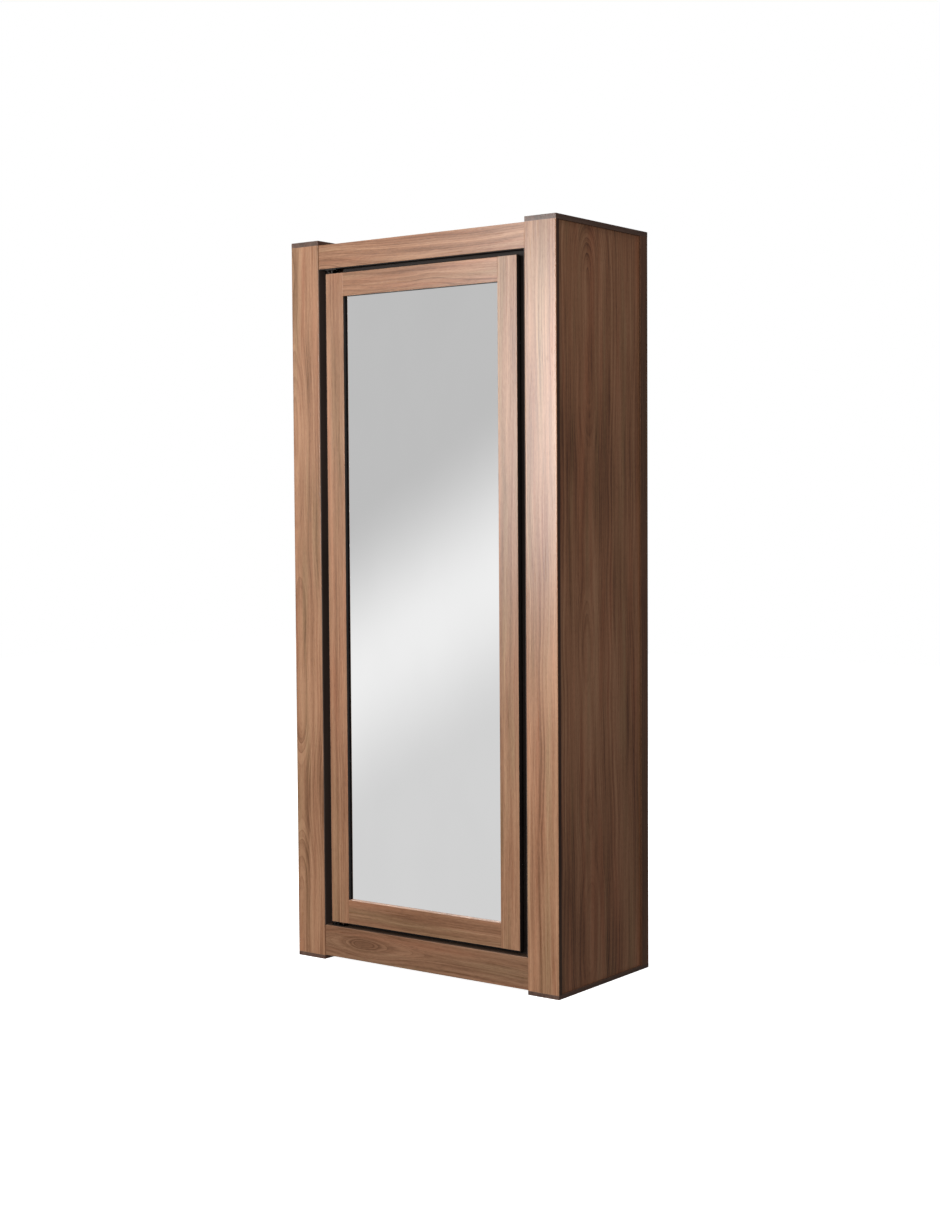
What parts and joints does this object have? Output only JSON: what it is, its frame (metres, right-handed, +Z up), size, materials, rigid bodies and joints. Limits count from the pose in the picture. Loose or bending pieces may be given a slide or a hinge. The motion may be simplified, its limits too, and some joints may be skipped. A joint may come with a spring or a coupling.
{
  "type": "mirror cabinet",
  "caption": "Tall floor-standing cabinet with hollow walnut side columns and a framed mirror door on pivots, set in a black finger gap, with shelves behind it.",
  "frame": {"origin": "on the floor, in the middle of the cabinet's plan", "axes": "+Z up, +X to the right seen from the front, +Y towards the wall; the door faces -Y"},
  "size_m": [0.8, 0.396, 1.8],
  "materials": {
    "walnut_front": "satin walnut foil, fine grain along the length",
    "walnut_side": "satin walnut foil, cathedral grain",
    "smoked_edge": "darker walnut edge, satin",
    "walnut_inside": "matt walnut melamine",
    "back_board": "matt printed fibreboard",
    "black_lining": "satin black laminate",
    "mirror": "silvered glass",
    "steel": "zinc-plated steel",
    "black_steel": "blackened steel",
    "bush_nylon": "natural nylon",
    "magnet": "nickel-plated magnet",
    "bumper": "soft translucent disc",
    "beech": "plain beech beads"
  },
  "bodies": {
    "cabinet": {"left_front_post": "walnut_front", "right_front_post": "walnut_front", "top_rail": "walnut_front", "bottom_rail": "walnut_front", "left_outer_side": "walnut_side", "right_outer_side": "walnut_side", "left_rear_stile": "walnut_side", "right_rear_stile": "walnut_side", "left_foot_plate": "smoked_edge", "right_foot_plate": "smoked_edge", "left_cap_plate": "smoked_edge", "right_cap_plate": "smoked_edge", "left_inner_side": "walnut_inside", "right_inner_side": "walnut_inside", "left_rear_board": "walnut_inside", "right_rear_board": "walnut_inside", "top_panel": "walnut_inside", "bottom_panel": "walnut_inside", "fixed_shelf": "walnut_inside", "adjustable_shelf_1": "walnut_inside", "adjustable_shelf_2": "walnut_inside", "adjustable_shelf_3": "walnut_inside", "adjustable_shelf_4": "walnut_inside", "rear_stretcher": "walnut_inside", "rear_plinth": "walnut_inside", "upper_back_panel": "back_board", "lower_back_panel": "back_board", "left_reveal_liner": "black_lining", "right_reveal_liner": "black_lining", "top_reveal_liner": "black_lining", "bottom_reveal_liner": "black_lining", "left_stop_strip": "black_lining", "right_stop_strip": "black_lining", "top_stop_strip": "black_lining", "bottom_stop_strip": "black_lining", "shelf_pins": "steel", "lower_pivot_plate": "black_steel", "upper_pivot_plate": "black_steel", "lower_pivot_pin": "black_steel", "upper_pivot_pin": "black_steel", "catch_magnets": "magnet", "door_bumpers": "bumper"},
    "door": {"left_door_stile": "walnut_front", "right_door_stile": "walnut_front", "top_door_rail": "walnut_front", "bottom_door_rail": "walnut_front", "door_edge_bands": "black_lining", "mirror_lip": "black_lining", "mirror_glass": "mirror", "mirror_backing": "back_board", "backing_beads": "beech", "strike_plates": "steel", "lower_pivot_bush": "bush_nylon", "upper_pivot_bush": "bush_nylon"}
  },
  "joints": [
    {"name": "door_hinge", "type": "hinge", "parent": "cabinet", "child": "door", "pos_m": [-0.274, -0.1855, 0.9], "axis": [0, 0, -1], "range_deg": [0, 135]}
  ]
}
